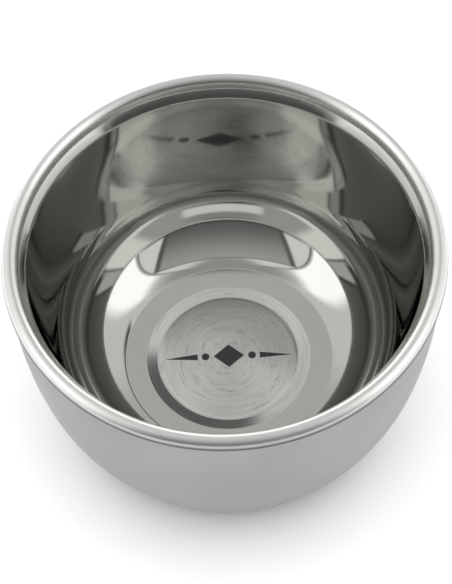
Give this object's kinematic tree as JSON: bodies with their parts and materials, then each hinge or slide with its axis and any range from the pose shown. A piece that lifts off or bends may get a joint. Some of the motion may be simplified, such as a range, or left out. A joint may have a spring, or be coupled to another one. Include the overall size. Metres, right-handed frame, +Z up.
{
  "type": "shaving bowl",
  "caption": "Round double-walled steel shaving bowl: mirror-polished tapered inside with a domed floor, satin outside, rolled rim and flat base.",
  "frame": {"origin": "middle of the base, on the surface that the bowl stands on", "axes": "+Z up along the bowl's axis of revolution; the printed ornament's line runs along X"},
  "size_m": [0.096, 0.096, 0.058],
  "materials": {
    "polished_steel": "mirror-polished stainless sheet, with spun circular marks on the floor",
    "satin_steel": "fine satin, brushed around the axis",
    "sealant": "grey sealant, hidden inside the rim",
    "ink": "black screen-printed ink"
  },
  "bodies": {
    "root": {"inner_bowl": "polished_steel", "outer_shell": "satin_steel", "rim_sealant": "sealant", "floor_ornament": "ink"}
  },
  "joints": []
}
